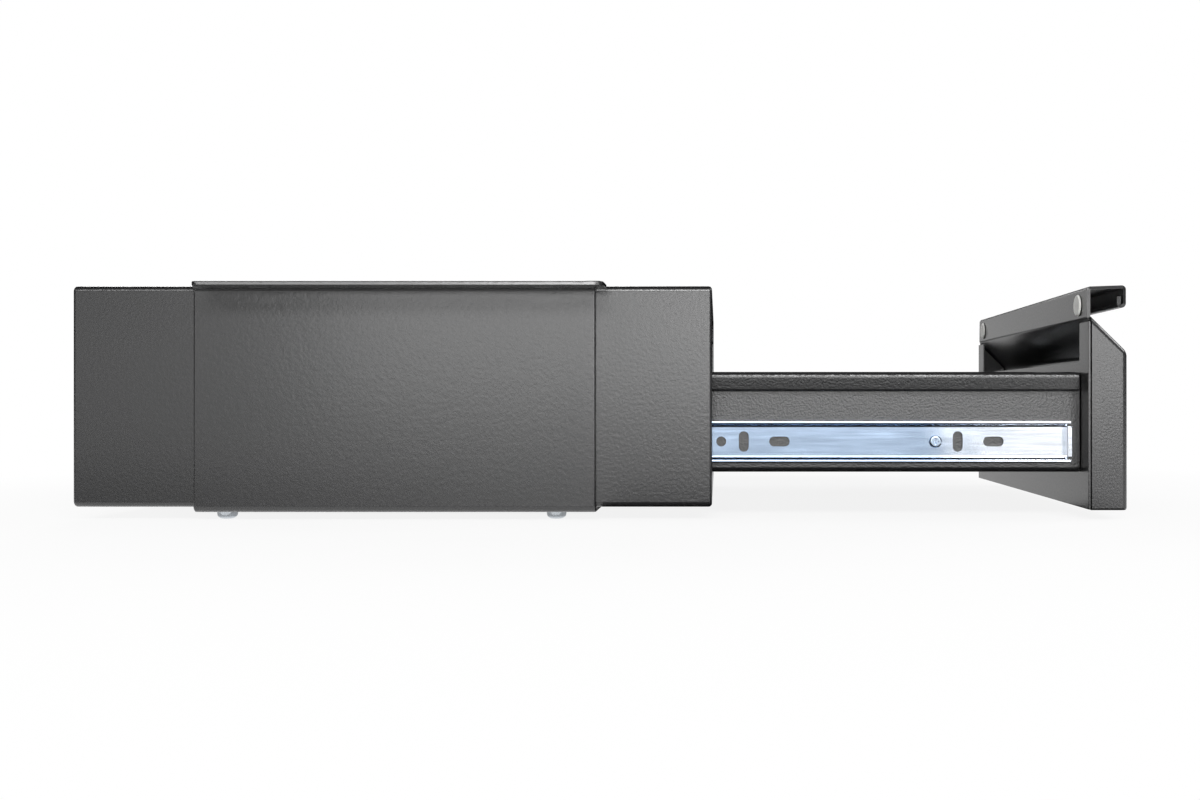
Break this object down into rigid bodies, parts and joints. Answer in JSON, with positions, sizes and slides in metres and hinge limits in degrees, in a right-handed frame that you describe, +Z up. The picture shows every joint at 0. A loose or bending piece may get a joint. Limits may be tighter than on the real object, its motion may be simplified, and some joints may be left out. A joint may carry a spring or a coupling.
{
  "type": "under desk drawer safe",
  "caption": "Flat steel box safe in a screw-on bracket for the underside of a desk, with a lockable drawer that opens on ball slides.",
  "frame": {"origin": "on the surface the safe stands on, under the middle of its box with the drawer open", "axes": "+X is the way the drawer opens, +Z is up, and -Y is the side that the picture shows"},
  "size_m": [0.4888, 0.2684, 0.1039],
  "materials": {
    "powder_coat": "dark charcoal powder coat with a fine orange peel texture, semi-gloss",
    "zinc_plate": "bright zinc plating with a slight blue tint",
    "bare_steel": "plain machined and pressed steel",
    "satin_chrome": "satin chrome plating",
    "clear_rubber": "milky clear silicone rubber",
    "liner_foam": "dark closed cell foam",
    "plate_enamel": "smooth black enamel"
  },
  "bodies": {
    "case": {"case_wrap": "powder_coat", "case_rear_panel": "powder_coat", "mouth_frame": "powder_coat", "mounting_bracket": "powder_coat", "bracket_screw_front_near": "zinc_plate", "bracket_screw_front_far": "zinc_plate", "bracket_screw_rear_near": "zinc_plate", "bracket_screw_rear_far": "zinc_plate", "bracket_nut_front_near": "zinc_plate", "bracket_nut_front_far": "zinc_plate", "bracket_nut_rear_near": "zinc_plate", "bracket_nut_rear_far": "zinc_plate", "slide_cabinet_member_near": "zinc_plate", "slide_cabinet_member_far": "zinc_plate"},
    "retainer_near": {"ball_retainer_near": "bare_steel"},
    "retainer_far": {"ball_retainer_far": "bare_steel"},
    "drawer": {"drawer_tray": "powder_coat", "tray_foam": "liner_foam", "slide_drawer_member_near": "zinc_plate", "slide_drawer_member_far": "zinc_plate", "slide_screw_front_near": "zinc_plate", "slide_screw_rear_near": "zinc_plate", "slide_screw_front_far": "zinc_plate", "slide_screw_rear_far": "zinc_plate", "front_shell": "powder_coat", "front_back_pan": "powder_coat", "bumper_near": "clear_rubber", "bumper_far": "clear_rubber", "lock_face_plate": "plate_enamel", "lock_chamber": "bare_steel", "lock_cover": "bare_steel", "lock_screw_1": "zinc_plate", "lock_screw_2": "zinc_plate", "lock_screw_3": "zinc_plate", "lock_screw_4": "zinc_plate", "button_spring_1": "bare_steel", "button_spring_2": "bare_steel", "button_spring_3": "bare_steel", "button_spring_4": "bare_steel", "button_spring_5": "bare_steel", "bolt_cover": "powder_coat", "bolt_cover_screw_1": "zinc_plate", "bolt_cover_screw_2": "zinc_plate"},
    "knob": {"turn_knob": "satin_chrome", "spindle": "bare_steel", "crank": "bare_steel"},
    "bolt": {"bolt": "bare_steel"},
    "button_1": {"button_1": "satin_chrome"},
    "button_2": {"button_2": "satin_chrome"},
    "button_3": {"button_3": "satin_chrome"},
    "button_4": {"button_4": "satin_chrome"},
    "button_5": {"button_5": "satin_chrome"}
  },
  "joints": [
    {"name": "drawer_slide", "type": "slide", "parent": "case", "child": "drawer", "axis": [1, 0, 0], "range_m": [-0.1637, 0]},
    {"name": "retainer_near_roll", "type": "slide", "parent": "case", "child": "retainer_near", "axis": [1, 0, 0], "range_m": [-0.082, 0]},
    {"name": "retainer_far_roll", "type": "slide", "parent": "case", "child": "retainer_far", "axis": [1, 0, 0], "range_m": [-0.082, 0]},
    {"name": "knob_turn", "type": "hinge", "parent": "drawer", "child": "knob", "pos_m": [0.2244, 0.036, 0.04], "axis": [-1, 0, 0], "range_deg": [0, 90]},
    {"name": "bolt_throw", "type": "slide", "parent": "drawer", "child": "bolt", "axis": [0, 0, -1], "range_m": [0, 0.01]},
    {"name": "button_1_press", "type": "slide", "parent": "drawer", "child": "button_1", "axis": [-1, 0, 0], "range_m": [0, 0.002], "stiffness_N_per_m": 800, "springref_m": -0.001, "deforming": ["button_spring_1"]},
    {"name": "button_2_press", "type": "slide", "parent": "drawer", "child": "button_2", "axis": [-1, 0, 0], "range_m": [0, 0.002], "stiffness_N_per_m": 800, "springref_m": -0.001, "deforming": ["button_spring_2"]},
    {"name": "button_3_press", "type": "slide", "parent": "drawer", "child": "button_3", "axis": [-1, 0, 0], "range_m": [0, 0.002], "stiffness_N_per_m": 800, "springref_m": -0.001, "deforming": ["button_spring_3"]},
    {"name": "button_4_press", "type": "slide", "parent": "drawer", "child": "button_4", "axis": [-1, 0, 0], "range_m": [0, 0.002], "stiffness_N_per_m": 800, "springref_m": -0.001, "deforming": ["button_spring_4"]},
    {"name": "button_5_press", "type": "slide", "parent": "drawer", "child": "button_5", "axis": [-1, 0, 0], "range_m": [0, 0.002], "stiffness_N_per_m": 800, "springref_m": -0.001, "deforming": ["button_spring_5"]}
  ],
  "couplings": [
    {"joint": "retainer_near_roll", "follows": "drawer_slide", "ratio": 0.5},
    {"joint": "retainer_far_roll", "follows": "drawer_slide", "ratio": 0.5},
    {"joint": "bolt_throw", "follows": "knob_turn", "m_per_rad": 0.0063}
  ]
}
